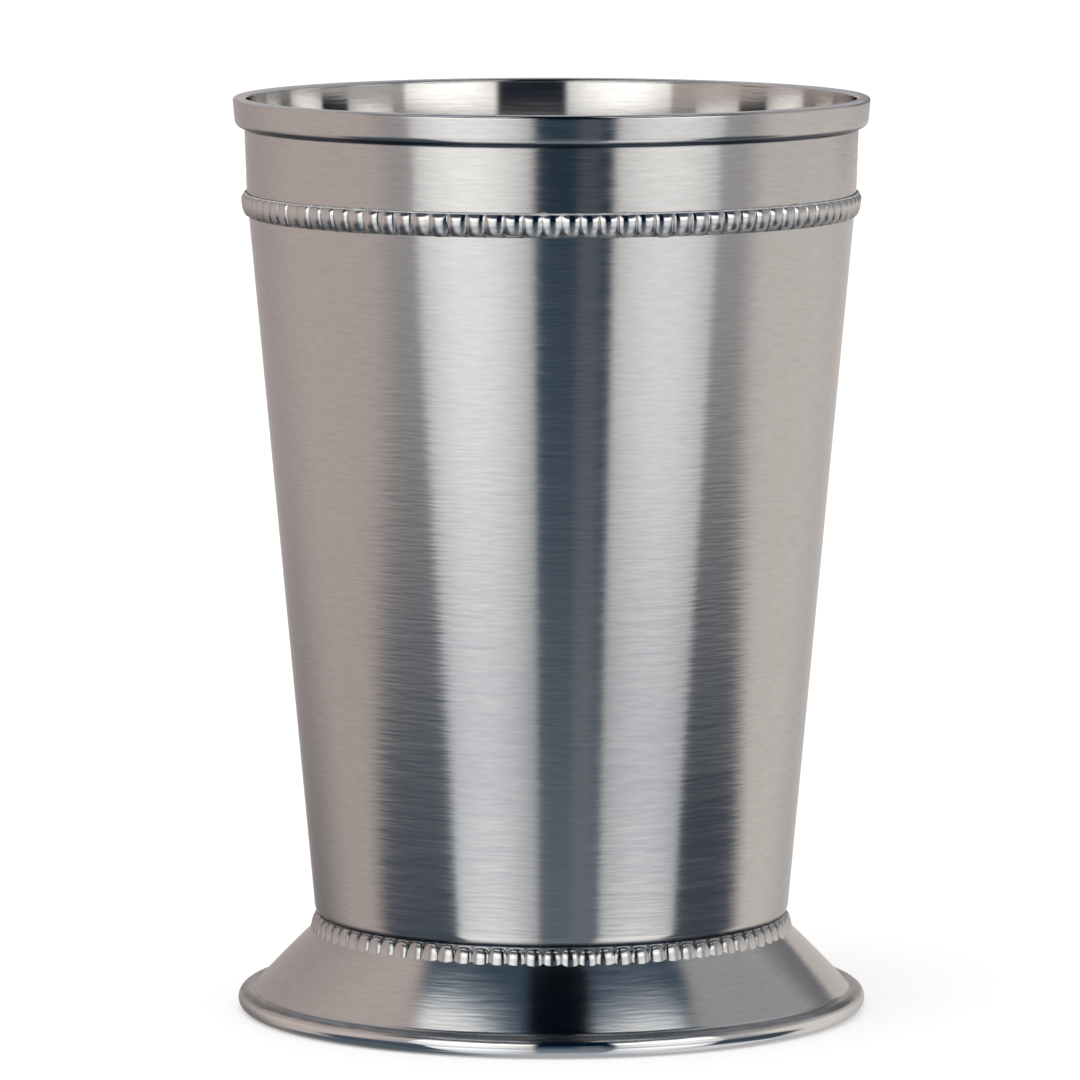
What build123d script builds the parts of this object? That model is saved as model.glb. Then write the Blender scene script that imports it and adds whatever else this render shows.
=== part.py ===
"""A footed julep cup: a sheet metal cup with a folded rim, a flared foot and two soldered beaded strips.

Units are millimetres. The cup stands on z = 0 and its axis is Z. Sections are drawn as (radius, height).
"""

import os
from math import atan2, copysign, cos, degrees, hypot, pi, radians, sin, tan

from build123d import *

# Sheet that the cup and the foot are made of
sheet = 0.65

# Cup, measured on its outside
cup_height = 115.0
rim_diameter = 79.7
rim_depth = 3.75
rim_draft = 0.35
rim_overhang = 1.49
hem_gap = 0.1
hem_end_gap = 0.25
collar_depth = 12.15
collar_flare = 0.28
bottom_inset = 10.15
bottom_height = 11.3
bottom_radius = 3.0

# Beaded strip: a thin band with a row of pearls
strip_width = 2.6
strip_thickness = 0.18
bead_pitch = 2.33
bead_gap = 0.08
bead_height = 0.44
bead_flats = 6
bead_tiers = (1.0, 0.64, 0.24)

# Lower strip: it stands on the skirt of the foot and leans towards the cup
lower_strip_thickness = 0.25
lower_strip_setback = 0.04
lower_bead_pitch = 2.22
lower_bead_rise = 0.36
lower_bead_width = 2.3

# Foot, measured on its outside
foot_inset = 0.3
flange_width = 9.15
shoulder_inset = 0.55
crease_height = 2.5
crease_inset = 1.88
curl_height = 2.7
curl_width = 2.0
curl_top_radius = 1.3
curl_base_radius = 1.1

# Solder
solder_film = 0.15
solder_film_margin = 0.5
seam_rise = 0.3
seam_drop = 0.2
seam_depth = 0.15
throat_fill = 0.75

os.makedirs("parts", exist_ok=True)


def step(point, angle, distance):
    """The point at a distance along a line that leans outwards from upright by an angle in degrees."""
    return (point[0] + distance * sin(radians(angle)), point[1] + distance * cos(radians(angle)))


def far_skin(skin, bends):
    """Corners and bend radii of a sheet's other skin, on the left of the way along its given skin."""
    runs = [(b[0] - a[0], b[1] - a[1]) for a, b in zip(skin, skin[1:])]
    turns = [a[0] * b[1] - a[1] * b[0] for a, b in zip(runs, runs[1:])]
    normals = [(-y / hypot(x, y), x / hypot(x, y)) for x, y in runs]
    sides = [normals[0]] + normals + [normals[-1]]
    corners = []
    for (x, y), (ax, ay), (bx, by) in zip(skin, sides, sides[1:]):
        mitre = sheet / (1 + ax * bx + ay * by)
        corners.append((x + mitre * (ax + bx), y + mitre * (ay + by)))
    far_bends = [max(bend - copysign(sheet, turn), 0) for bend, turn in zip(bends, turns)]
    return corners, far_bends


def pearl(face_point, lean, length, width, sink):
    """One bead: a faceted dome on the face of a strip that leans outwards, its root sunk into the strip."""
    outward = (cos(radians(lean)), 0, -sin(radians(lean)))
    root = Plane((face_point[0], 0, face_point[1]), x_dir=(0, 1, 0), z_dir=outward).offset(-sink)
    turns = [2 * pi * (flat + 0.5) / bead_flats for flat in range(bead_flats)]
    with BuildPart() as bead:
        for tier in bead_tiers:
            lift = (bead_height + sink) * (1 - tier**2) / (1 - bead_tiers[-1] ** 2)
            outline = [(tier * length / 2 * cos(turn), tier * width / 2 * sin(turn)) for turn in turns]
            with BuildSketch(root.offset(lift)):
                with BuildLine():
                    Polyline(*outline, close=True)
                make_face()
        loft(ruled=True)
    return bead.part


# Cup: bottom, wall, collar and the edge that is folded outwards into the rim
rim_radius = rim_diameter / 2
rim_bottom = cup_height - rim_depth
collar_head = (rim_radius - rim_overhang, rim_bottom)
collar_foot = (collar_head[0] - collar_flare, cup_height - collar_depth)
wall_foot = (rim_radius - bottom_inset, bottom_height)
cup_outside = [
    (0, bottom_height),
    wall_foot,
    collar_foot,
    collar_head,
    (rim_radius - sheet - hem_gap, cup_height - sheet),
    (rim_radius - sheet, cup_height - sheet),
    (rim_radius - rim_draft - sheet, rim_bottom + sheet),
    (collar_head[0] + hem_end_gap, rim_bottom + sheet),
]
cup_bends = [bottom_radius, 0, 0, 0, 0, 0]
wall_lean = degrees(atan2(collar_foot[0] - wall_foot[0], collar_foot[1] - wall_foot[1]))
collar_lean = degrees(atan2(collar_head[0] - collar_foot[0], collar_head[1] - collar_foot[1]))
cup_inside, cup_inside_bends = far_skin(cup_outside, cup_bends)
with BuildPart() as cup_shell:
    with BuildSketch(Plane.XZ):
        with BuildLine():
            outside = FilletPolyline(*cup_outside, radius=cup_bends)
            inside = FilletPolyline(*cup_inside, radius=cup_inside_bends)
            Line(outside @ 0, inside @ 0)
            Line(outside @ 1, inside @ 1)
        make_face()
    revolve(axis=Axis.Z)
cup_shell.part.label = "cup_shell"
export_step(cup_shell.part, "parts/cup_shell.step")

# Foot: a curled edge to stand on, a flared skirt, a shoulder and a flange under the cup
foot_radius = rim_radius - foot_inset
flange_top = bottom_height - solder_film
flange_radius = wall_foot[0] - shoulder_inset - flange_width
crease = (foot_radius - crease_inset, crease_height)
shoulder = (wall_foot[0] - shoulder_inset, flange_top)
skirt_angle = degrees(atan2(crease[0] - shoulder[0], shoulder[1] - crease[1]))
foot_outside = [
    (foot_radius - curl_width, 0),
    (foot_radius, 0),
    (foot_radius, curl_height),
    crease,
    shoulder,
    (flange_radius, flange_top),
]
foot_bends = [curl_base_radius, curl_top_radius, 0, sheet]
foot_inside, foot_inside_bends = far_skin(foot_outside, foot_bends)
with BuildPart() as foot_skirt:
    with BuildSketch(Plane.XZ):
        with BuildLine():
            outside = FilletPolyline(*foot_outside, radius=foot_bends)
            inside = FilletPolyline(*foot_inside, radius=foot_inside_bends)
            Line(outside @ 0, inside @ 0)
            Line(outside @ 1, inside @ 1)
        make_face()
    revolve(axis=Axis.Z)
foot_skirt.part.label = "foot_skirt"
export_step(foot_skirt.part, "parts/foot_skirt.step")

# Upper beaded strip: a band on the wall, its top edge where the collar starts
bead_sink = strip_thickness / 3
wall_out = wall_lean + 90
strip_foot = step(collar_foot, wall_lean + 180, strip_width)
strip_face = step(step(collar_foot, wall_lean + 180, strip_width / 2), wall_out, strip_thickness)
upper_pearl = pearl(strip_face, wall_lean, bead_pitch - bead_gap, strip_width - bead_gap, bead_sink)
with BuildPart() as upper_bead_strip:
    with BuildSketch(Plane.XZ):
        with BuildLine():
            Polyline(
                strip_foot,
                step(strip_foot, wall_out, strip_thickness),
                step(collar_foot, wall_out, strip_thickness),
                collar_foot,
                close=True,
            )
        make_face()
    revolve(axis=Axis.Z)
    with PolarLocations(0, round(2 * pi * strip_face[0] / bead_pitch)):
        add(upper_pearl)
upper_bead_strip.part.label = "upper_bead_strip"
export_step(upper_bead_strip.part, "parts/upper_bead_strip.step")

# Solder seams along both edges of the upper strip
with BuildPart() as upper_bead_solder:
    with BuildSketch(Plane.XZ):
        with BuildLine():
            Polyline(
                collar_foot,
                step(collar_foot, wall_out, seam_depth),
                step(collar_foot, collar_lean, seam_rise),
                close=True,
            )
        make_face()
        with BuildLine():
            Polyline(
                strip_foot,
                step(strip_foot, wall_out, seam_depth),
                step(strip_foot, wall_lean + 180, seam_drop),
                close=True,
            )
        make_face()
    revolve(axis=Axis.Z)
upper_bead_solder.part.label = "upper_bead_solder"
export_step(upper_bead_solder.part, "parts/upper_bead_solder.step")

# Lower beaded strip: a band that stands just below the shoulder and leans in half as much as the skirt
lower_strip_lean = skirt_angle / 2
lower_out = 90 - lower_strip_lean
lower_seat = lower_strip_thickness / sin(radians(skirt_angle - lower_strip_lean))
shoulder_bend_length = sheet * tan(radians(90 - skirt_angle) / 2)
lower_back = step(shoulder, 180 - skirt_angle, shoulder_bend_length + lower_strip_setback)
lower_front = step(lower_back, 180 - skirt_angle, lower_seat)
lower_top = step(lower_front, -lower_strip_lean, lower_bead_rise + lower_bead_width / 2)
lower_face = step(lower_front, -lower_strip_lean, lower_bead_rise)
lower_top_back = step(lower_top, lower_out + 180, lower_strip_thickness)
lower_bead_length = lower_bead_pitch - bead_gap
with BuildPart() as lower_pearl:
    add(pearl(lower_face, -lower_strip_lean, lower_bead_length, lower_bead_width - bead_gap, bead_sink))
    add(foot_skirt.part, mode=Mode.SUBTRACT)
with BuildPart() as lower_bead_strip:
    with BuildSketch(Plane.XZ):
        with BuildLine():
            Polyline(lower_front, lower_top, lower_top_back, lower_back, close=True)
        make_face()
    revolve(axis=Axis.Z)
    with PolarLocations(0, round(2 * pi * lower_face[0] / lower_bead_pitch)):
        add(lower_pearl.part)
lower_bead_strip.part.label = "lower_bead_strip"
export_step(lower_bead_strip.part, "parts/lower_bead_strip.step")

# Solder in the throat behind the lower strip, filling what the cup and the foot leave free
throat_height = throat_fill * hypot(lower_top_back[0] - lower_back[0], lower_top_back[1] - lower_back[1])
throat_top = step(lower_back, -lower_strip_lean, throat_height)
bottom_flat_radius = wall_foot[0] - bottom_radius * tan(radians(90 - wall_lean) / 2)
with BuildPart() as lower_bead_solder:
    with BuildSketch(Plane.XZ):
        with BuildLine():
            Polyline(
                lower_back,
                throat_top,
                (bottom_flat_radius + solder_film_margin, throat_top[1]),
                (bottom_flat_radius + solder_film_margin, flange_top - sheet / 2),
                close=True,
            )
        make_face()
    revolve(axis=Axis.Z)
    add(cup_shell.part, mode=Mode.SUBTRACT)
    add(foot_skirt.part, mode=Mode.SUBTRACT)
lower_bead_solder.part.label = "lower_bead_solder"
export_step(lower_bead_solder.part, "parts/lower_bead_solder.step")

# Solder film that joins the flat of the cup bottom to the flange of the foot
with BuildPart() as foot_solder_ring:
    with BuildSketch(Plane.XY.offset(flange_top)):
        Circle(bottom_flat_radius - solder_film_margin)
        Circle(flange_radius + solder_film_margin, mode=Mode.SUBTRACT)
    extrude(amount=solder_film)
foot_solder_ring.part.label = "foot_solder_ring"
export_step(foot_solder_ring.part, "parts/foot_solder_ring.step")
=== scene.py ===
from math import radians

import bpy
import numpy as np
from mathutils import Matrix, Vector


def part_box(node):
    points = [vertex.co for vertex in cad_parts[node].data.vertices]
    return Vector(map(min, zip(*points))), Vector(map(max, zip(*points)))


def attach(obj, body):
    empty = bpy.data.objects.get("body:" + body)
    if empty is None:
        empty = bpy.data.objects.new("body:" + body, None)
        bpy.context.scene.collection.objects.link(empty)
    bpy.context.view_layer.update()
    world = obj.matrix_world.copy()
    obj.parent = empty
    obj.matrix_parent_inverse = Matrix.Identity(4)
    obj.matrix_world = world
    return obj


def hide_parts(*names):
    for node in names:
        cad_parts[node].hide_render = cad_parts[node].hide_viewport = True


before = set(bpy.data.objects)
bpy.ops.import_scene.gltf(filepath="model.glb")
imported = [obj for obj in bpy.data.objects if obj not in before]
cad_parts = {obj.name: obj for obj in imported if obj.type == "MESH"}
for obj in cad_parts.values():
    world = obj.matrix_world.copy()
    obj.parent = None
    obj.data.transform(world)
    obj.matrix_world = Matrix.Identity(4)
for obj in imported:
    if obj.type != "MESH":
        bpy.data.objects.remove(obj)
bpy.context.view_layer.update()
mm = 0.001
print("frame loaded:", len(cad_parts), "nodes")

# sizes that come from the frame, in mm
cupLow, cupHigh = (np.array(corner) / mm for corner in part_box("cup_shell"))
footHigh = np.array(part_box("foot_skirt")[1]) / mm
cupTop, cupBottom, rimRadius = cupHigh[2], cupLow[2], cupHigh[0]
flangeTop, footRadius = footHigh[2], footHigh[0]


def ease(value, low, high):
    # 0 below low, 1 above high, 3t^2 - 2t^3 between
    t = np.clip((value - low) / (high - low), 0, 1)
    return t * t * (3 - 2 * t)


def window(value, low, high, softLow, softHigh=None):
    # 1 from low to high, 0 outside, each edge eased over its own softness
    softHigh = softHigh or softLow
    rising = ease(value, low - softLow / 2, low + softLow / 2)
    return rising * (1 - ease(value, high - softHigh / 2, high + softHigh / 2))


def roundedPath(corners, bends, arcSteps=8, edge=0.12, longest=5.0):
    # straight runs between the corners; each inner corner is cut back by bend * tan(turn / 2)
    # on both runs and joined by an arc, and each run gets a point close to its ends
    corners = np.asarray(corners, float)
    runs = np.diff(corners, axis=0)
    runs /= np.linalg.norm(runs, axis=1, keepdims=True)
    before, after = runs[:-1], runs[1:]
    turn = np.arctan2(before[:, 0] * after[:, 1] - before[:, 1] * after[:, 0], (before * after).sum(1))
    bends = np.asarray(bends, float)
    cut = (bends * np.abs(np.tan(turn / 2)))[:, None]
    starts, ends = corners[1:-1] - before * cut, corners[1:-1] + after * cut
    side = np.sign(turn)[:, None] * np.stack([-before[:, 1], before[:, 0]], axis=1)
    swept = np.linspace(0, 1, arcSteps + 1) * np.abs(turn)[:, None]
    arcs = starts[:, None] + bends[:, None, None] * (
        np.sin(swept)[..., None] * before[:, None] + (1 - np.cos(swept))[..., None] * side[:, None])
    path = [corners[:1]]
    runStarts, runEnds = np.vstack([corners[:1], ends]), np.vstack([starts, corners[-1:]])
    for number, (start, end) in enumerate(zip(runStarts, runEnds)):
        length = np.linalg.norm(end - start)
        if length > 3 * edge:
            inner = np.linspace(edge / length, 1 - edge / length, 2 + int(length / longest))
            path.append(start + (end - start) * inner[:, None])
        if number < len(arcs):
            path.append(arcs[number] if bends[number] > 0 else arcs[number][:1])
    path.append(corners[-1:])
    return np.vstack(path)


def gridMesh(name, points, closedRows=False, poles=None, sharpFrom=50):
    # points is rows x columns x 3; columns always join up round the axis, rows join up if closed,
    # and a pole is one point that the first and the last row close onto
    rows, columns = points.shape[:2]
    index = np.arange(rows * columns).reshape(rows, columns)
    low = index if closedRows else index[:-1]
    high = np.roll(index, -1, axis=0) if closedRows else index[1:]
    quads = np.stack([low, np.roll(low, -1, axis=1), np.roll(high, -1, axis=1), high], axis=-1)
    vertices, faces = points.reshape(-1, 3), quads.reshape(-1, 4).tolist()
    if poles is not None:
        first, last = rows * columns, rows * columns + 1
        vertices = np.vstack([vertices, poles])
        firstFan = np.stack([np.full(columns, first), np.roll(index[0], -1), index[0]], axis=-1)
        lastFan = np.stack([np.full(columns, last), index[-1], np.roll(index[-1], -1)], axis=-1)
        faces += firstFan.tolist() + lastFan.tolist()
    mesh = bpy.data.meshes.new(name)
    mesh.from_pydata((vertices * mm).tolist(), [], faces)
    mesh.shade_smooth()
    mesh.set_sharp_from_angle(angle=radians(sharpFrom))
    piece = bpy.data.objects.new(name, mesh)
    bpy.context.scene.collection.objects.link(piece)
    return piece


def storeMask(piece, name, values):
    stored = piece.data.attributes.new(name, "FLOAT", "POINT")
    filled = np.zeros(len(piece.data.vertices), np.float32)
    filled[:values.size] = values.ravel()
    stored.data.foreach_set("value", filled)


def spin(name, path, columns, paintedShade, polish, onAxis=False):
    # every point (r, z) of the path goes round to (r cos a, r sin a, z)
    turns = np.linspace(0, 2 * np.pi, columns, endpoint=False)
    poles = None
    if onAxis:
        poles = np.array([[0, 0, path[0, 1]], [0, 0, path[-1, 1]]])
        path, paintedShade, polish = path[1:-1], paintedShade[1:-1], polish[1:-1]
    radius, height = path[:, :1], path[:, 1:]
    points = np.stack([radius * np.cos(turns), radius * np.sin(turns), height + 0 * turns], axis=-1)
    piece = gridMesh(name, points, closedRows=not onAxis, poles=poles)
    storeMask(piece, "paintedShade", np.repeat(paintedShade, columns))
    storeMask(piece, "polish", np.repeat(polish, columns))
    return piece


def place(piece, node, material):
    piece.data.materials.append(material)
    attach(piece, "root")
    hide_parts(node)
    print("piece", piece.name, "stands for", node, "with", len(piece.data.polygons), "faces")


def addNode(tree, kind, inputs=None, **settings):
    node = tree.nodes.new(kind)
    for name, value in settings.items():
        setattr(node, name, value)
    for name, value in (inputs or {}).items():
        if isinstance(value, bpy.types.NodeSocket):
            tree.links.new(value, node.inputs[name])
        else:
            node.inputs[name].default_value = value
    return node


def mixColour(tree, factor, first, second):
    node = addNode(tree, "ShaderNodeMix", {0: factor}, data_type="RGBA")
    for socket, value in ((6, first), (7, second)):
        if isinstance(value, bpy.types.NodeSocket):
            tree.links.new(value, node.inputs[socket])
        else:
            node.inputs[socket].default_value = (*value, 1)
    return node.outputs[2]


def ramp(tree, value, low, high, toLow=0.0, toHigh=1.0):
    node = addNode(tree, "ShaderNodeMapRange", {
        "Value": value, "From Min": low, "From Max": high, "To Min": toLow, "To Max": toHigh})
    return node.outputs["Result"]


def compute(tree, operation, *values, **settings):
    node = addNode(tree, "ShaderNodeMath", dict(enumerate(values)), operation=operation, **settings)
    return node.outputs[0]


def scaled(tree, vector, factors):
    return addNode(tree, "ShaderNodeVectorMath", {0: vector, 1: factors}, operation="MULTIPLY").outputs[0]


def mixValue(tree, factor, first, second):
    return addNode(tree, "ShaderNodeMix", {"Factor": factor, "A": first, "B": second}).outputs["Result"]


def newGroup(name, inputs, outputs):
    group = bpy.data.node_groups.new(name, "ShaderNodeTree")
    for socket, value in inputs.items():
        made = group.interface.new_socket(socket, in_out="INPUT", socket_type="NodeSocketFloat")
        made.default_value = value
    for socket in outputs:
        group.interface.new_socket(socket, in_out="OUTPUT", socket_type="NodeSocketFloat")
    return group, group.nodes.new("NodeGroupInput").outputs, group.nodes.new("NodeGroupOutput").inputs


lineLook = {
    "radiusShare": 0.3, "dashSqueeze": (0.45, 0.45, 3.2), "streakSqueeze": (0.1, 0.1, 1.1),
    "cloudScale": 0.06,
}


def makeRubbingGroup():
    # fine lines that run round the axis: noise on (x, y, z - radiusShare * r), squeezed hard along the last
    look = lineLook
    group, given, out = newGroup(
        "rubbingLines", {"Line Density": 3.0, "Line Reach": 0.3}, ("Lines", "Dashes", "Streaks", "Clouds"))
    where = addNode(group, "ShaderNodeTexCoord").outputs["Object"]
    inMm = scaled(group, where, (1 / mm,) * 3)
    split = addNode(group, "ShaderNodeSeparateXYZ", {0: inMm}).outputs
    flat = addNode(group, "ShaderNodeCombineXYZ", {"X": split["X"], "Y": split["Y"]}).outputs[0]
    radius = addNode(group, "ShaderNodeVectorMath", {0: flat}, operation="LENGTH").outputs["Value"]
    across = compute(group, "MULTIPLY_ADD", radius, -look["radiusShare"], split["Z"])
    spot = addNode(group, "ShaderNodeCombineXYZ", {"X": split["X"], "Y": split["Y"], "Z": across}).outputs[0]
    squeeze = addNode(group, "ShaderNodeCombineXYZ", {
        "X": given["Line Reach"], "Y": given["Line Reach"], "Z": given["Line Density"]}).outputs[0]
    noises = {
        "Lines": {"Vector": scaled(group, spot, squeeze), "Scale": 1.0, "Detail": 0.5},
        "Dashes": {"Vector": scaled(group, spot, look["dashSqueeze"]), "Scale": 1.0, "Detail": 0.5},
        "Streaks": {"Vector": scaled(group, spot, look["streakSqueeze"]), "Scale": 1.0, "Detail": 2.0},
        "Clouds": {"Vector": inMm, "Scale": look["cloudScale"], "Detail": 4.0, "Roughness": 0.6},
    }
    for socket, inputs in noises.items():
        noise = addNode(group, "ShaderNodeTexNoise", inputs)
        group.links.new(noise.outputs["Fac"], out[socket])
    return group


def newMaterial(name):
    material = bpy.data.materials.new(name)
    material.use_nodes = True
    tree = material.node_tree
    return material, tree, tree.nodes["Principled BSDF"]


def finishShader(tree, shader, colour, rough, normal, metallic=1.0):
    tree.links.new(colour, shader.inputs["Base Color"])
    tree.links.new(rough, shader.inputs["Roughness"])
    tree.links.new(normal, shader.inputs["Normal"])
    shader.inputs["Metallic"].default_value = metallic


rubbingLines = makeRubbingGroup()

rubbedSheet = {
    "shade": (0.64, 0.625, 0.61), "shine": (0.70, 0.685, 0.67), "polished": (0.87, 0.86, 0.85),
    # the dark navy colour next is painted shade for the rim's underside, the crevices and the foot's curl
    "shadeColour": (0.03, 0.045, 0.07), "shadeEdge": (0.25, 0.85), "raggedness": 0.05, "raggedRange": (0.3, 0.7),
    "cloudShare": 0.35, "broadShare": 0.35, "wornRange": (0.32, 0.68), "paleFrom": 0.7,
    "roughness": (0.13, 0.19), "roughRange": (0.35, 0.65), "polishedRoughness": 0.04, "dullest": 0.34,
    "anisotropy": 0.8, "crossing": 0.25,
    "lineDensity": 3.0, "lineReach": 0.3, "lineDepth": 0.02, "lineStrength": 0.6, "streakShare": 1.0,
    "smoothFrom": 0.76,  # the polish at which the lines are gone
}


def makeRubbedSheet():
    look = rubbedSheet
    material, tree, shader = newMaterial("rubbed_sheet")
    rubbing = addNode(tree, "ShaderNodeGroup", node_tree=rubbingLines)
    rubbing.inputs["Line Density"].default_value = look["lineDensity"]
    rubbing.inputs["Line Reach"].default_value = look["lineReach"]
    lines, dashes, streaks, clouds = (
        rubbing.outputs[name] for name in ("Lines", "Dashes", "Streaks", "Clouds"))
    polish = addNode(tree, "ShaderNodeAttribute", attribute_name="polish").outputs["Fac"]
    paintedShade = addNode(tree, "ShaderNodeAttribute", attribute_name="paintedShade").outputs["Fac"]
    # painted shade in the crevices has a ragged edge: it starts earlier where the fine lines are high
    ragged = ramp(tree, lines, *look["raggedRange"], -look["raggedness"], look["raggedness"])
    shadeMix = ramp(tree, compute(tree, "ADD", paintedShade, ragged), *look["shadeEdge"])
    broad = mixValue(tree, look["cloudShare"], streaks, clouds)
    worn = mixValue(tree, look["broadShare"], dashes, broad)
    metal = mixColour(tree, ramp(tree, worn, *look["wornRange"]), look["shade"], look["shine"])
    bright = mixColour(tree, ramp(tree, polish, look["paleFrom"], 1.0), metal, look["polished"])
    # painted shade: the colour darkens to dark navy where the crevice mask is high
    colour = mixColour(tree, shadeMix, bright, look["shadeColour"])
    smooth = ramp(tree, broad, *look["roughRange"], *look["roughness"])
    smooth = mixValue(tree, polish, smooth, look["polishedRoughness"])
    rough = mixValue(tree, shadeMix, smooth, look["dullest"])
    wave = compute(tree, "MULTIPLY_ADD", streaks, look["streakShare"], lines)
    height = compute(tree, "MULTIPLY", wave, ramp(tree, polish, 0.0, look["smoothFrom"], 1.0, 0.0))
    bump = addNode(tree, "ShaderNodeBump", {
        "Height": height, "Strength": look["lineStrength"], "Distance": look["lineDepth"] * mm})
    finishShader(tree, shader, colour, rough, bump.outputs["Normal"])
    shader.inputs["Anisotropic"].default_value = look["anisotropy"]
    shader.inputs["Anisotropic Rotation"].default_value = look["crossing"]
    return material


polishedBead = {
    # the second colour is painted shade, laid by the mask between the beads and over their ends
    "crown": (0.71, 0.70, 0.69), "shadeColour": (0.10, 0.11, 0.12), "roughness": (0.10, 0.5),
    "cloudRange": (0.3, 0.7), "uneven": (0.7, 1.3), "lineDepth": 0.01, "lineStrength": 0.2,
}


def makePolishedBead():
    look = polishedBead
    material, tree, shader = newMaterial("polished_bead")
    beadPaintedShade = addNode(tree, "ShaderNodeAttribute", attribute_name="beadPaintedShade").outputs["Fac"]
    rubbing = addNode(tree, "ShaderNodeGroup", node_tree=rubbingLines)
    uneven = ramp(tree, rubbing.outputs["Clouds"], *look["cloudRange"], *look["uneven"])
    # painted shade between the beads and over their ends, a little uneven
    shadeMix = compute(tree, "MULTIPLY", beadPaintedShade, uneven, use_clamp=True)
    colour = mixColour(tree, shadeMix, look["crown"], look["shadeColour"])
    rough = ramp(tree, shadeMix, 0.0, 1.0, *look["roughness"])
    bump = addNode(tree, "ShaderNodeBump", {
        "Height": rubbing.outputs["Lines"], "Strength": look["lineStrength"],
        "Distance": look["lineDepth"] * mm})
    finishShader(tree, shader, colour, rough, bump.outputs["Normal"])
    return material


dullSolder = {
    "shade": (0.6, 0.6, 0.62), "shine": (0.8, 0.8, 0.81), "roughness": (0.45, 0.65), "metallic": 0.6,
    "grain": 1.6, "grainRange": (0.3, 0.7), "grainDepth": 0.05, "grainStrength": 0.4,
}


def makeDullSolder():
    look = dullSolder
    material, tree, shader = newMaterial("dull_solder")
    where = addNode(tree, "ShaderNodeTexCoord").outputs["Object"]
    noise = addNode(tree, "ShaderNodeTexNoise", {"Vector": where, "Scale": look["grain"] / mm, "Detail": 3.0})
    grain = noise.outputs["Fac"]
    colour = mixColour(tree, ramp(tree, grain, *look["grainRange"]), look["shade"], look["shine"])
    rough = ramp(tree, grain, *look["grainRange"], *look["roughness"])
    bump = addNode(tree, "ShaderNodeBump", {
        "Height": grain, "Strength": look["grainStrength"], "Distance": look["grainDepth"] * mm})
    finishShader(tree, shader, colour, rough, bump.outputs["Normal"], look["metallic"])
    return material


sheetMaterial = makeRubbedSheet()
beadMaterial = makePolishedBead()
solderMaterial = makeDullSolder()
print("materials made")

cupShape = {
    "sheet": 0.65, "columns": 360,
    "rimDepth": 3.75, "rimDraft": 0.35, "rimOverhang": 1.49, "rimTopEdge": 0.42, "rimLowEdge": 1.0,
    "lipWidth": 1.65, "grooveRise": 0.6, "grooveGap": 0.22, "grooveDraft": 0.05, "grooveBend": 0.08,
    "headBend": 0.2,
    "collarDepth": 12.15, "collarFlare": 0.28, "collarBend": 4.0, "collarBendInside": 30.0,
    "bottomInset": 10.15, "bottomBend": 2.2, "insidePolish": 0.7, "lipFade": (0.3, 0.6),
    # painted shade under the rim: how far below it starts and is full, how high in the groove it fades, how
    # far inside the collar it lies and how strong it is; then the painted shade just above the foot
    "rimShade": 0.45, "rimShadeFull": 0.1, "grooveFade": (0.2, 0.75), "shadeInset": 0.15, "rimPaintedShade": 0.9,
    "footShadeHeight": 1.4, "footShadeFade": (0.4, 0.3), "footShadeRadius": 20,
}


def makeCup():
    # section: out along the bottom, up the wall and the collar, round the folded rim and down the inside
    s = cupShape
    rimFoot = cupTop - s["rimDepth"]
    wallFoot = np.array([rimRadius - s["bottomInset"], cupBottom])
    collarHead = np.array([rimRadius - s["rimOverhang"], rimFoot])
    collarFoot = np.array([collarHead[0] - s["collarFlare"], cupTop - s["collarDepth"]])
    shadeFrom = collarHead - (collarHead - collarFoot) * s["rimShade"] / (collarHead[1] - collarFoot[1])
    hemInside, grooveTop = collarHead[0] + s["grooveGap"], rimFoot + s["grooveRise"]
    inward = np.array([-s["sheet"], 0])
    corners = [
        (0, cupBottom), wallFoot, collarFoot, shadeFrom, collarHead,
        (collarHead[0] + s["grooveDraft"], grooveTop), (hemInside, grooveTop), (hemInside, rimFoot),
        (rimRadius - s["rimDraft"], rimFoot), (rimRadius, cupTop), (rimRadius - s["lipWidth"], cupTop),
        collarFoot + inward, wallFoot + inward + (0, s["sheet"]), (0, cupBottom + s["sheet"]),
    ]
    bends = [
        s["bottomBend"], s["collarBend"], 0, s["headBend"], *[s["grooveBend"]] * 3, s["rimLowEdge"],
        s["rimTopEdge"], s["rimTopEdge"], s["collarBendInside"], s["bottomBend"] - s["sheet"],
    ]
    path = roundedPath(corners, bends)
    # painted shade under the rim and where the cup meets the foot
    r, z = path.T
    belowRim = ease(z, rimFoot - s["rimShade"], rimFoot - s["rimShadeFull"])
    inGroove = 1 - ease(z, rimFoot + s["grooveFade"][0], rimFoot + s["grooveFade"][1])
    underRim = (r > collarHead[0] - s["shadeInset"]) * belowRim * inGroove
    footShadeTop = cupBottom + s["footShadeHeight"]
    nearFoot = (r > s["footShadeRadius"]) * (1 - ease(z, footShadeTop - s["footShadeFade"][0], footShadeTop + s["footShadeFade"][1]))
    isInside = np.arange(len(path)) > np.argmax(z)
    paintedShade = np.maximum(underRim * s["rimPaintedShade"], nearFoot * ~isInside)
    polish = s["insidePolish"] * isInside * ease(cupTop - z, *s["lipFade"])
    cup = spin("cupShell", path, s["columns"], paintedShade, polish, onAxis=True)
    return cup, wallFoot, collarFoot


cup, wallFoot, collarFoot = makeCup()
place(cup, "cup_shell", sheetMaterial)

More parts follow.
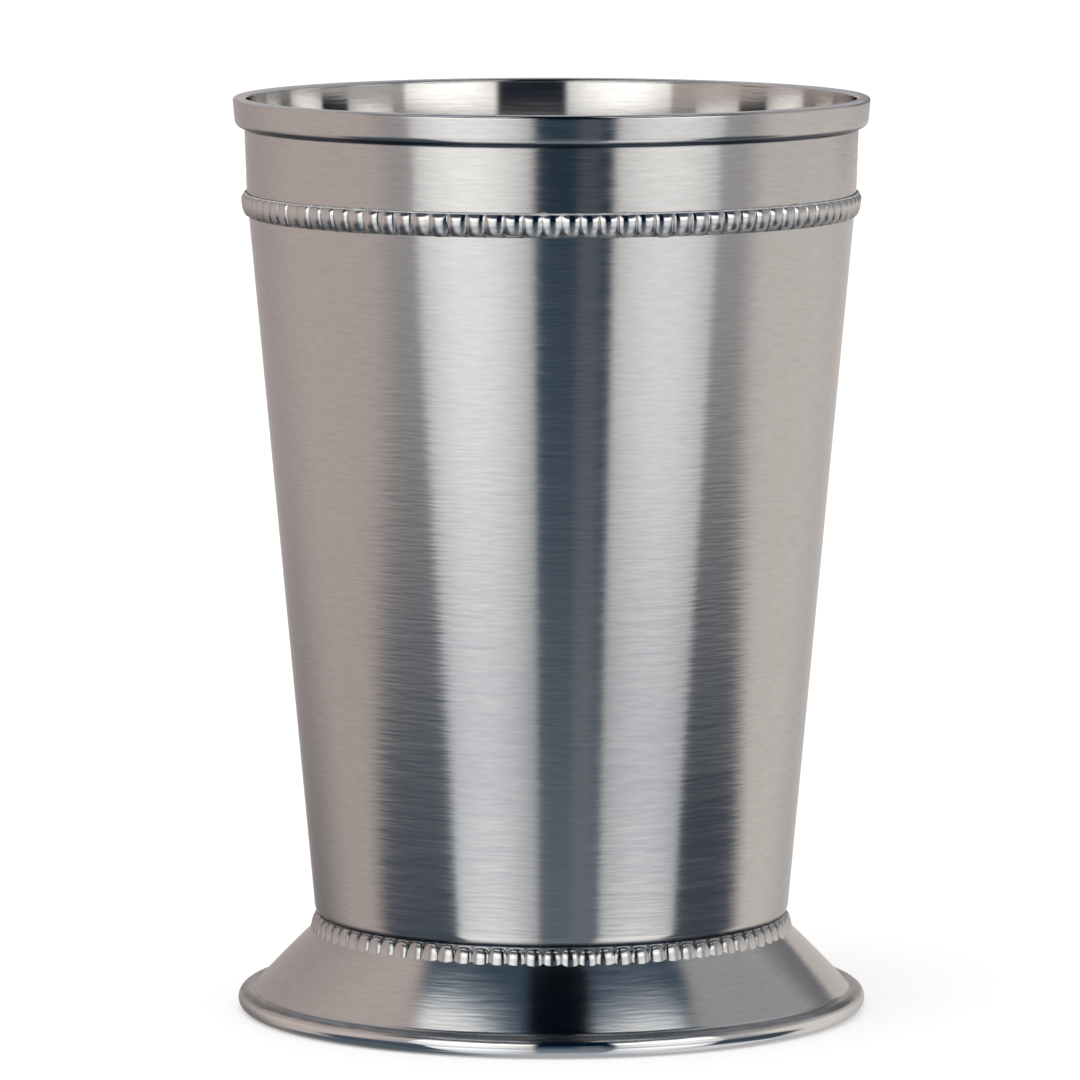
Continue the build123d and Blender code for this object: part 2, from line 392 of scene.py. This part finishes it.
footShape = {
    "sheet": 0.65, "columns": 360, "flangeWidth": 9.15, "shoulderInset": 0.55, "shoulderBend": 0.65,
    "creaseInset": 1.88, "creaseHeight": 2.5, "crown": 0.12, "innerBend": 0.3, "innerInset": (0.3, 0.35),
    "creaseStops": (0.02, 0.05), "skirtStops": (0.1, 0.9, 9),
    "curlTube": 1.35, "curlFrom": 112.0, "curlTo": -195.0, "curlRows": 44,
    # polish from and to these degrees of the curl, its softness, and the skirt's polish
    "curlPolish": (-75.0, 30.0), "curlPolishSoft": 20, "skirtPolish": 0.42,
    # painted shade from and to these degrees of the curl, over this share of the skirt, and across the
    # shoulder
    "curlPaintedShade": 0.62, "curlPaintedShadeFrom": (22, 52), "creasePaintedShade": 0.85, "creaseReach": 0.035,
    "shoulderPaintedShade": (-0.2, 0.4),
}


def makeFoot():
    # section: under the flange, down inside the skirt, round the curl, up the skirt and over the flange;
    # the skirt bulges by 4 * crown * a * (1 - a) along its length a
    s = footShape
    shoulder = np.array([wallFoot[0] - s["shoulderInset"], flangeTop])
    crease = np.array([footRadius - s["creaseInset"], s["creaseHeight"]])
    slope = (crease - shoulder) / np.linalg.norm(crease - shoulder)
    outward = np.array([-slope[1], slope[0]])
    along = np.concatenate([s["creaseStops"], np.linspace(*s["skirtStops"])])[:, None]
    skirt = crease + (shoulder - crease) * along + outward * 4 * s["crown"] * along * (1 - along)
    centre = np.array([footRadius - s["curlTube"], s["curlTube"]])
    angle = np.linspace(s["curlTo"], s["curlFrom"], s["curlRows"])
    swept = np.radians(angle)[:, None]
    curl = centre + s["curlTube"] * np.hstack([np.cos(swept), np.sin(swept)])
    flangeEnd, flangeUnder = shoulder[0] - s["flangeWidth"], flangeTop - s["sheet"]
    innerBreak = shoulder - outward * s["sheet"] + slope * s["innerInset"][0]
    underside = [(flangeEnd, flangeUnder), (innerBreak[0] - s["innerInset"][1], flangeUnder), curl[0]]
    inside = roundedPath(underside, [s["innerBend"]])[:-1]
    top = roundedPath([skirt[-1], shoulder, (flangeEnd, flangeTop)], [s["shoulderBend"]])
    # painted shade in the crease above the curl and under the cup
    paintedShade = np.concatenate([
        np.zeros(len(inside)), ease(angle, *s["curlPaintedShadeFrom"]) * s["curlPaintedShade"],
        (1 - ease(along[:-1, 0], 0.0, s["creaseReach"])) * s["creasePaintedShade"],
        ease(shoulder[0] - top[:, 0], *s["shoulderPaintedShade"])])
    path = np.vstack([inside, curl, skirt[:-1], top])
    polish = np.zeros(len(path))
    polish[len(inside) + len(curl):] = s["skirtPolish"]
    polish[len(inside):len(inside) + len(curl)] = window(angle, *s["curlPolish"], s["curlPolishSoft"])
    return spin("footSkirt", path, s["columns"], paintedShade, polish), shoulder


foot, shoulder = makeFoot()
place(foot, "foot_skirt", sheetMaterial)


# how much painted shade each part of a bead gets, and where it begins and is full
beadShade = {
    "notch": 0.9, "notchAcross": (0.7, 1.0), "notchAlong": (0.4, 0.9), "endAlong": (0.15, 0.55),
    "edge": 0.2, "margin": 0.9,
}


def beadRing(name, shape, start, along, outward):
    # p goes -1..1 round each bead, and v from the strip's straight edge (0) to the beads' round ends (1);
    # a bead stands body + dome * sqrt(1 - (roundness * p)^2) high and ends at 1 - scallop * p^4;
    # from v = flat to its end it rounds off as sqrt(1 - t^2), its straight edge has edgeHeight of its height,
    # and each bead is shifted, stretched and swollen a little at random
    stops, count, flat = np.array(shape["stops"]), shape["count"], shape["flat"]
    bead = np.repeat(np.arange(count), len(stops))
    p = np.tile(stops, count)
    turns = (2 * bead + p) * np.pi / count - np.pi / 2
    rng = np.random.default_rng(shape["seed"])
    shift, stretch, swell = rng.normal(0, shape["uneven"], (3, count))[:, bead]
    arch = np.sqrt(np.maximum(1 - (shape["roundness"] * (p + shift)) ** 2, shape["valleyFloor"]))
    top = (shape["body"] + shape["dome"] * arch) * (1 + swell)
    end = (1 - shape["scallop"] * p ** 4) * (1 + stretch)
    t = np.sin(np.linspace(0, np.pi / 2, shape["rounding"] + 1))[:, None]
    v = np.vstack([shape["edgeRound"] + 0 * p, flat + (end - flat) * t])
    height = np.vstack([top, top * np.sqrt(1 - t ** 2) + shape["plate"]])
    # painted shade lies between the ends of the beads and thinly over their rounded ends
    between = ease(np.abs(p), *beadShade["notchAcross"]) * ease(t, *beadShade["notchAlong"])
    shadeMix = np.maximum(beadShade["notch"] * between, shape["endShade"] * ease(t, *beadShade["endAlong"]))
    shadeMix = np.vstack([0 * p, shadeMix])
    row = np.ones_like(p)
    edge, margin, plate, sink = shape["edge"], 1 + shape["margin"], shape["plate"], shape["sink"]
    v = np.vstack([-edge * row, -edge * row, v, margin * row, margin * row])
    height = np.vstack([-sink * row, shape["edgeHeight"] * top, height, plate * row, -sink * row])
    shadeMix = np.vstack([[beadShade["edge"] * row] * 2, shadeMix, [beadShade["margin"] * row] * 2])
    across = start + along * (v * shape["width"])[..., None]
    radius, level = across[..., 0] + height * outward[0], across[..., 1] + height * outward[1]
    points = np.stack([radius * np.cos(turns), radius * np.sin(turns), level], axis=-1)
    if along[1] < 0:
        points, shadeMix = points[::-1], shadeMix[::-1]
    piece = gridMesh(name, points, closedRows=True)
    storeMask(piece, "beadPaintedShade", shadeMix)
    return piece


# each bead has 7 stops round it and 10 rows, so that two hundred of them stay light
upperBeads = {
    "count": 103, "stops": (-1, -0.93, -0.6, -0.2, 0.2, 0.6, 0.93), "rounding": 4, "width": 2.65,
    # the value after the scallop is the painted shade over the beads' rounded ends
    "body": 0.22, "dome": 0.50, "roundness": 0.95, "flat": 0.34, "scallop": 0.18, "endShade": 0.45,
    "edge": 0.04, "edgeHeight": 0.62, "edgeRound": 0.12, "plate": 0.03, "margin": 0.03, "sink": 0.12,
    "uneven": 0.03, "valleyFloor": 0.04, "seed": 3,
}
wallSlope = (collarFoot - wallFoot) / np.linalg.norm(collarFoot - wallFoot)
wallOut = np.array([wallSlope[1], -wallSlope[0]])
upperRing = beadRing("upperBeads", upperBeads, collarFoot, -wallSlope, wallOut)
place(upperRing, "upper_bead_strip", beadMaterial)

lowerBeads = {
    "count": 84, "stops": upperBeads["stops"], "rounding": 4, "width": 2.45,
    # the value after the scallop is the painted shade over the beads' rounded ends
    "body": 0.18, "dome": 0.40, "roundness": 0.95, "flat": 0.28, "scallop": 0.25, "endShade": 0.2,
    "edge": 0.02, "edgeHeight": 0.75, "edgeRound": 0.0, "plate": 0.05, "margin": 0.05, "sink": 0.1,
    "uneven": 0.04, "valleyFloor": 0.04, "seed": 5, "start": (0.65, -1.52), "lean": 8.0,
}
leaning = radians(lowerBeads["lean"])
lowerSlope = np.array([-np.sin(leaning), np.cos(leaning)])
lowerOut = np.array([np.cos(leaning), np.sin(leaning)])
lowerFrom = shoulder + np.array(lowerBeads["start"])
lowerRing = beadRing("lowerBeads", lowerBeads, lowerFrom, lowerSlope, lowerOut)
place(lowerRing, "lower_bead_strip", beadMaterial)


seamWaves = {"count": 24, "perTurn": (7, 160), "fullTurn": 6.28, "spread": 5, "limits": (0.5, 1.6)}


def solderSeam(name, shape, middle):
    # a thin ring whose round section swells and shrinks: size * (1 + waves of a few random lengths + flecks)
    s = seamWaves
    rng = np.random.default_rng(shape["seed"])
    turns = np.linspace(0, 2 * np.pi, shape["columns"], endpoint=False)
    waves = rng.integers(*s["perTurn"], (s["count"], 1))
    waves = np.sin(waves * turns + rng.uniform(0, s["fullTurn"], (s["count"], 1)))
    swell = (waves * shape["swell"] / s["spread"]).sum(0)
    fromFront = np.degrees(turns[:, None] + np.pi / 2 - np.radians([fleck[0] for fleck in shape["flecks"]]))
    fromFront = (fromFront + 180) % 360 - 180
    reach, rise = np.array([fleck[1:] for fleck in shape["flecks"]]).T
    flecks = (rise * np.exp(-(fromFront / reach) ** 2)).sum(1)
    size = shape["size"] * (np.clip(1 + swell, *s["limits"]) + flecks)
    section = np.linspace(0, 2 * np.pi, shape["rows"], endpoint=False)[:, None]
    radius, level = middle[0] + size * np.cos(section), middle[1] + size * shape["flat"] * np.sin(section)
    points = np.stack([radius * np.cos(turns), radius * np.sin(turns), level], axis=-1)
    return gridMesh(name, points, closedRows=True)


# a fleck is where solder ran over: degrees from the front, half width in degrees, extra size
upperSeam = {
    "columns": 1080, "rows": 10, "size": 0.12, "flat": 0.9, "swell": 0.15, "seed": 11,
    "lift": 0.2, "out": 0.26,
    "flecks": [
        (-1.4, 0.5, 1.6), (-3.2, 1.0, 0.5), (13.6, 0.7, 1.0), (-38, 0.8, 0.9), (52, 0.6, 1.1),
        (121, 0.9, 1.2), (-140, 0.7, 1.4)],
}
upperMiddle = collarFoot + wallSlope * upperSeam["lift"] + wallOut * upperSeam["out"]
upperSolder = solderSeam("upperSolder", upperSeam, upperMiddle)
place(upperSolder, "upper_bead_solder", solderMaterial)

throatSeam = {
    "columns": 360, "rows": 12, "size": 0.3, "flat": 0.7, "swell": 0.25, "seed": 12, "middle": (-0.3, 0.15),
    "flecks": [(40, 2.0, 0.3), (-75, 3.0, 0.2)],
}
throat = solderSeam("throatSolder", throatSeam, shoulder + np.array(throatSeam["middle"]))
place(throat, "lower_bead_solder", solderMaterial)

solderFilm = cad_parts["foot_solder_ring"]
solderFilm.data.materials.clear()
solderFilm.data.materials.append(solderMaterial)

studioTent = {
    "radius": 320.0, "height": 60.0, "columns": 360, "rows": 180, "steepest": 89.5,
    "leftCloth": (0.56, 0.49, 0.465), "leftLow": (0.5, 0.445, 0.425), "lowFrom": (-18, -8),
    "rightCloth": (0.69, 0.65, 0.625), "rightHigh": (0.39, 0.39, 0.395), "highFrom": (-2, 22),
    "sidesMeet": (-60, 60), "behindFrom": (140, 180), "ground": (0.40, 0.43, 0.47), "groundTo": (-52, -40),
    # a panel: azimuth from, to, soft edges; elevation from, to, soft edges; levels and the colour at each
    "panels": {
        "leftBack": ((-166, -124, 24, 40), (-70, 40, 20), (-22, -6), [(0.2, 0.19, 0.19), (0.43, 0.38, 0.37)]),
        "rightBack": ((132, 166, 30, 24), (-70, 30, 20), (-22, -6), [(0.5, 0.49, 0.48), (0.6, 0.56, 0.54)]),
        "rightShade": ((128, 172, 16, 10), (6, 26, 5, 8), (0, 12, 22), [
            (0.16, 0.165, 0.18), (0.21, 0.215, 0.23), (0.32, 0.32, 0.33)]),
        "leftFlag": ((-63, -49, 14, 3), (-60, 8, 12), (-24, -20, -8), [
            (0.06, 0.08, 0.11), (0.085, 0.105, 0.135), (0.4, 0.39, 0.395)]),
        "rightFlag": ((61, 78, 3, 14), (-60, 8, 12), (-20, -14, -8), [
            (0.05, 0.065, 0.09), (0.18, 0.19, 0.205), (0.4, 0.395, 0.41)]),
        "leftFloor": ((-130, -63, 12), (-80, -38, 12), (0,), [(0.09, 0.115, 0.14)]),
        "rightFloor": ((60, 110, 10), (-75, -45, 10), (0,), [(0.66, 0.68, 0.7)]),
        "overPanels": ((-70, 75, 20), (24, 54, 6), (0,), [(0.06, 0.09, 0.13)]),
        "leftPanel": ((-50, -6, 3), (-68, 24, 5), (-62, -48, -29, -25, -20, -11, 5, 11), [
            (0.65, 0.67, 0.7), (0.8, 0.82, 0.85), (1.3, 1.3, 1.3), (0.78, 0.81, 0.86), (0.63, 0.68, 0.75),
            (1.1, 1.11, 1.12), (1.15, 1.15, 1.15), (1.75, 1.74, 1.71)]),
        "rightPanel": ((22, 62, 3), (-68, 24, 5), (-62, -48, -29, -25, -20, -11, 5, 11), [
            (0.65, 0.67, 0.7), (0.8, 0.82, 0.85), (1.3, 1.3, 1.3), (0.66, 0.69, 0.74), (0.53, 0.57, 0.63),
            (1.0, 1.01, 1.02), (0.92, 0.93, 0.93), (1.75, 1.74, 1.71)]),
        "cameraGap": ((-6, 22, 3), (-62, 60, 6), (-60, -43, -24, -9, 0, 10), [
            (0.36, 0.39, 0.43), (0.17, 0.21, 0.26), (0.14, 0.175, 0.215), (0.045, 0.075, 0.11),
            (0.03, 0.055, 0.085), (0.001, 0.008, 0.02)]),
        "warmLine": ((9, 17, 3), (-30, 4, 6), (-22, -9), [(0.19, 0.205, 0.235), (0.11, 0.12, 0.145)]),
    },
    # a panel is brightest at one azimuth and loses this share of its light at this distance from it
    "hotSpots": {"leftPanel": (-30, 22, 0.42), "rightPanel": (42, 18, 0.26)},
    # degrees that a panel's two edges move for each degree below a level, down to a depth below it
    "spread": {
        "leftFlag": (-1.9, 0.4), "rightFlag": (-0.2, 1.5), "leftPanel": (0.4, 0), "rightPanel": (0, -0.2)},
    "spreadFrom": -9, "spreadDepth": 14,
    # the roof cloth brightens towards its front and outer edges and has a dark slot over the cup; to the
    # left and to the right it brightens by these shares of the distance, on the left from a little way out
    "roofFrom": (48, 52), "roofDrop": 30, "dropFrom": (100, 150), "roofReach": (-0.63, 0.7), "roofSoft": 0.1,
    "roofLeft": 0.95, "roofLeftFrom": 0.06, "roofRight": 0.76,
    "roofSlot": (-0.13, 0.21), "slot": (0.001, 0.003, 0.007),
    "roofLevels": (0.45, 0.5, 0.54, 0.575, 0.6, 0.64), "roofBack": (0.5, 0.52, 0.55), "backFrom": (0, 0.3),
    "roofColours": [
        (0.03, 0.06, 0.1), (0.07, 0.105, 0.15), (0.14, 0.19, 0.245), (0.35, 0.42, 0.5), (0.85, 0.88, 0.91),
        (1.25, 1.25, 1.25)],
}


def blend(base, colour, mask):
    return base + (np.asarray(colour) - base) * mask[..., None]


def stepped(value, levels, colours):
    return np.stack([np.interp(value, levels, channel) for channel in np.array(colours).T], axis=-1)


def tentColour(azimuth, elevation, direction):
    # cloth on both sides, panels over it by azimuth and elevation, and a roof by the direction's x and y
    s = studioTent
    plain = np.ones(azimuth.shape + (1,))
    right = blend(np.asarray(s["rightCloth"]) * plain, s["rightHigh"], ease(elevation, *s["highFrom"]))
    left = blend(np.asarray(s["leftCloth"]) * plain, s["leftLow"], 1 - ease(elevation, *s["lowFrom"]))
    behind = ease(np.abs(azimuth), *s["behindFrom"])
    rightShare = ease(azimuth, *s["sidesMeet"]) * (1 - behind) + 0.5 * behind
    colour = blend(left, right, rightShare)
    colour = blend(colour, s["ground"], 1 - ease(elevation, *s["groundTo"]))
    below = np.clip(s["spreadFrom"] - elevation, 0, s["spreadDepth"])
    for name, ((low, high, *soft), rise, levels, colours) in s["panels"].items():
        lit = stepped(elevation, levels, colours)
        if name in s["hotSpots"]:
            hottest, reach, loss = s["hotSpots"][name]
            lit = lit * (1 - loss * ((azimuth - hottest) / reach) ** 2)[..., None]
        spreadLow, spreadHigh = s["spread"].get(name, (0, 0))
        mask = window(azimuth, low + spreadLow * below, high + spreadHigh * below, *soft)
        colour = blend(colour, lit, mask * window(elevation, *rise))
    across, front = direction[..., 0], -direction[..., 1]
    sideways = np.where(across < 0, -s["roofLeft"] * across - s["roofLeftFrom"], s["roofRight"] * across)
    roof = stepped(front + sideways, s["roofLevels"], s["roofColours"])
    roof = blend(roof, s["slot"], window(across, *s["roofSlot"], s["roofSoft"]))
    roof = blend(roof, s["roofBack"], ease(-front, *s["backFrom"]))
    overhead = ease(elevation + s["roofDrop"] * ease(np.abs(azimuth), *s["dropFrom"]), *s["roofFrom"])
    overhead = overhead * window(across, *s["roofReach"], s["roofSoft"])
    return blend(colour, roof, overhead)


def makeTent():
    # a big ball round the cup, seen by reflections only
    s = studioTent
    azimuth, elevation = np.meshgrid(
        np.linspace(-180, 180, s["columns"], endpoint=False),
        np.linspace(-s["steepest"], s["steepest"], s["rows"]))
    a, e = np.radians(azimuth), np.radians(elevation)
    direction = np.stack([np.sin(a) * np.cos(e), -np.cos(a) * np.cos(e), np.sin(e)], axis=-1)
    points = s["radius"] * direction + np.array([0, 0, s["height"]])
    tent = gridMesh("studioTent", points, poles=np.array([points[0].mean(0), points[-1].mean(0)]))
    colour = tentColour(azimuth, elevation, direction)
    glow = np.ones((len(tent.data.vertices), 4), np.float32)
    glow[:azimuth.size, :3] = colour.reshape(-1, 3)
    glow[-2:, :3] = colour[0].mean(0), colour[-1].mean(0)
    tent.data.attributes.new("glow", "FLOAT_COLOR", "POINT").data.foreach_set("color", glow.ravel())
    material = bpy.data.materials.new("studio_tent")
    material.use_nodes = True
    tree = material.node_tree
    tree.nodes.clear()
    lit = addNode(tree, "ShaderNodeAttribute", attribute_name="glow").outputs["Color"]
    shade = addNode(tree, "ShaderNodeEmission", {"Color": lit})
    addNode(tree, "ShaderNodeOutputMaterial", {"Surface": shade.outputs[0]})
    tent.data.materials.append(material)
    tent.visible_camera = tent.visible_diffuse = tent.visible_shadow = tent.visible_transmission = False


floorLook = {"size": 3.0, "paper": (0.88, 0.88, 0.88), "roughness": 0.9, "lift": 0.27}


def makeFloor():
    mesh = bpy.data.meshes.new("floor")
    half = floorLook["size"]
    corners = [(-half, -half, 0), (half, -half, 0), (half, half, 0), (-half, half, 0)]
    mesh.from_pydata(corners, [], [(0, 1, 2, 3)])
    floor = bpy.data.objects.new("floor", mesh)
    bpy.context.scene.collection.objects.link(floor)
    material, tree, shader = newMaterial("floor_paper")
    shader.inputs["Base Color"].default_value = (*floorLook["paper"], 1)
    shader.inputs["Roughness"].default_value = floorLook["roughness"]
    shader.inputs["Emission Color"].default_value = (1, 1, 1, 1)
    seen = addNode(tree, "ShaderNodeLightPath").outputs["Is Camera Ray"]
    lift = compute(tree, "MULTIPLY", seen, floorLook["lift"])
    tree.links.new(lift, shader.inputs["Emission Strength"])
    mesh.materials.append(material)
    floor.visible_glossy = False


worldLook = {"white": 1.0, "onFloor": 0.9}


def makeWorld():
    # white for what the camera, reflections and glass see, a plain level for the light on the floor
    world = bpy.data.worlds.new("studio")
    bpy.context.scene.world = world
    world.use_nodes = True
    tree = world.node_tree
    path = addNode(tree, "ShaderNodeLightPath").outputs
    seen = compute(tree, "MAXIMUM", path["Is Camera Ray"], path["Is Glossy Ray"])
    seen = compute(tree, "MAXIMUM", seen, path["Is Transmission Ray"])
    level = ramp(tree, seen, 0.0, 1.0, worldLook["onFloor"], worldLook["white"])
    tree.nodes["Background"].inputs["Color"].default_value = (1, 1, 1, 1)
    tree.links.new(level, tree.nodes["Background"].inputs["Strength"])


topSoftbox = {"place": (-0.4, -0.5, 1.3), "target": (0, 0, 0.05), "size": 1.2, "power": 3.0}


def makeLamp():
    look = topSoftbox
    data = bpy.data.lights.new("topSoftbox", "AREA")
    data.shape, data.size, data.energy = "DISK", look["size"], look["power"]
    lamp = bpy.data.objects.new("topSoftbox", data)
    bpy.context.scene.collection.objects.link(lamp)
    lamp.location = look["place"]
    lamp.rotation_euler = (Vector(look["target"]) - Vector(look["place"])).to_track_quat("-Z", "Y").to_euler()
    lamp.visible_glossy = False


cameraLook = {
    "distance": 1022.89, "height": 176.74, "pitch": 6.556, "aside": -1.44, "lens": 273.116, "sensor": 36.0,
    "clip": (0.01, 20),
}


def makeCamera():
    look = cameraLook
    data = bpy.data.cameras.new("camera")
    data.sensor_fit, data.sensor_width, data.lens = "HORIZONTAL", look["sensor"], look["lens"]
    data.clip_start, data.clip_end = look["clip"]
    camera = bpy.data.objects.new("camera", data)
    bpy.context.scene.collection.objects.link(camera)
    camera.location = np.array([look["aside"], -look["distance"], look["height"]]) * mm
    camera.rotation_euler = (radians(90 - look["pitch"]), 0, 0)
    bpy.context.scene.camera = camera


makeTent()
makeFloor()
makeWorld()
makeLamp()
makeCamera()
bpy.context.scene.view_settings.view_transform = "Standard"
print("studio made")
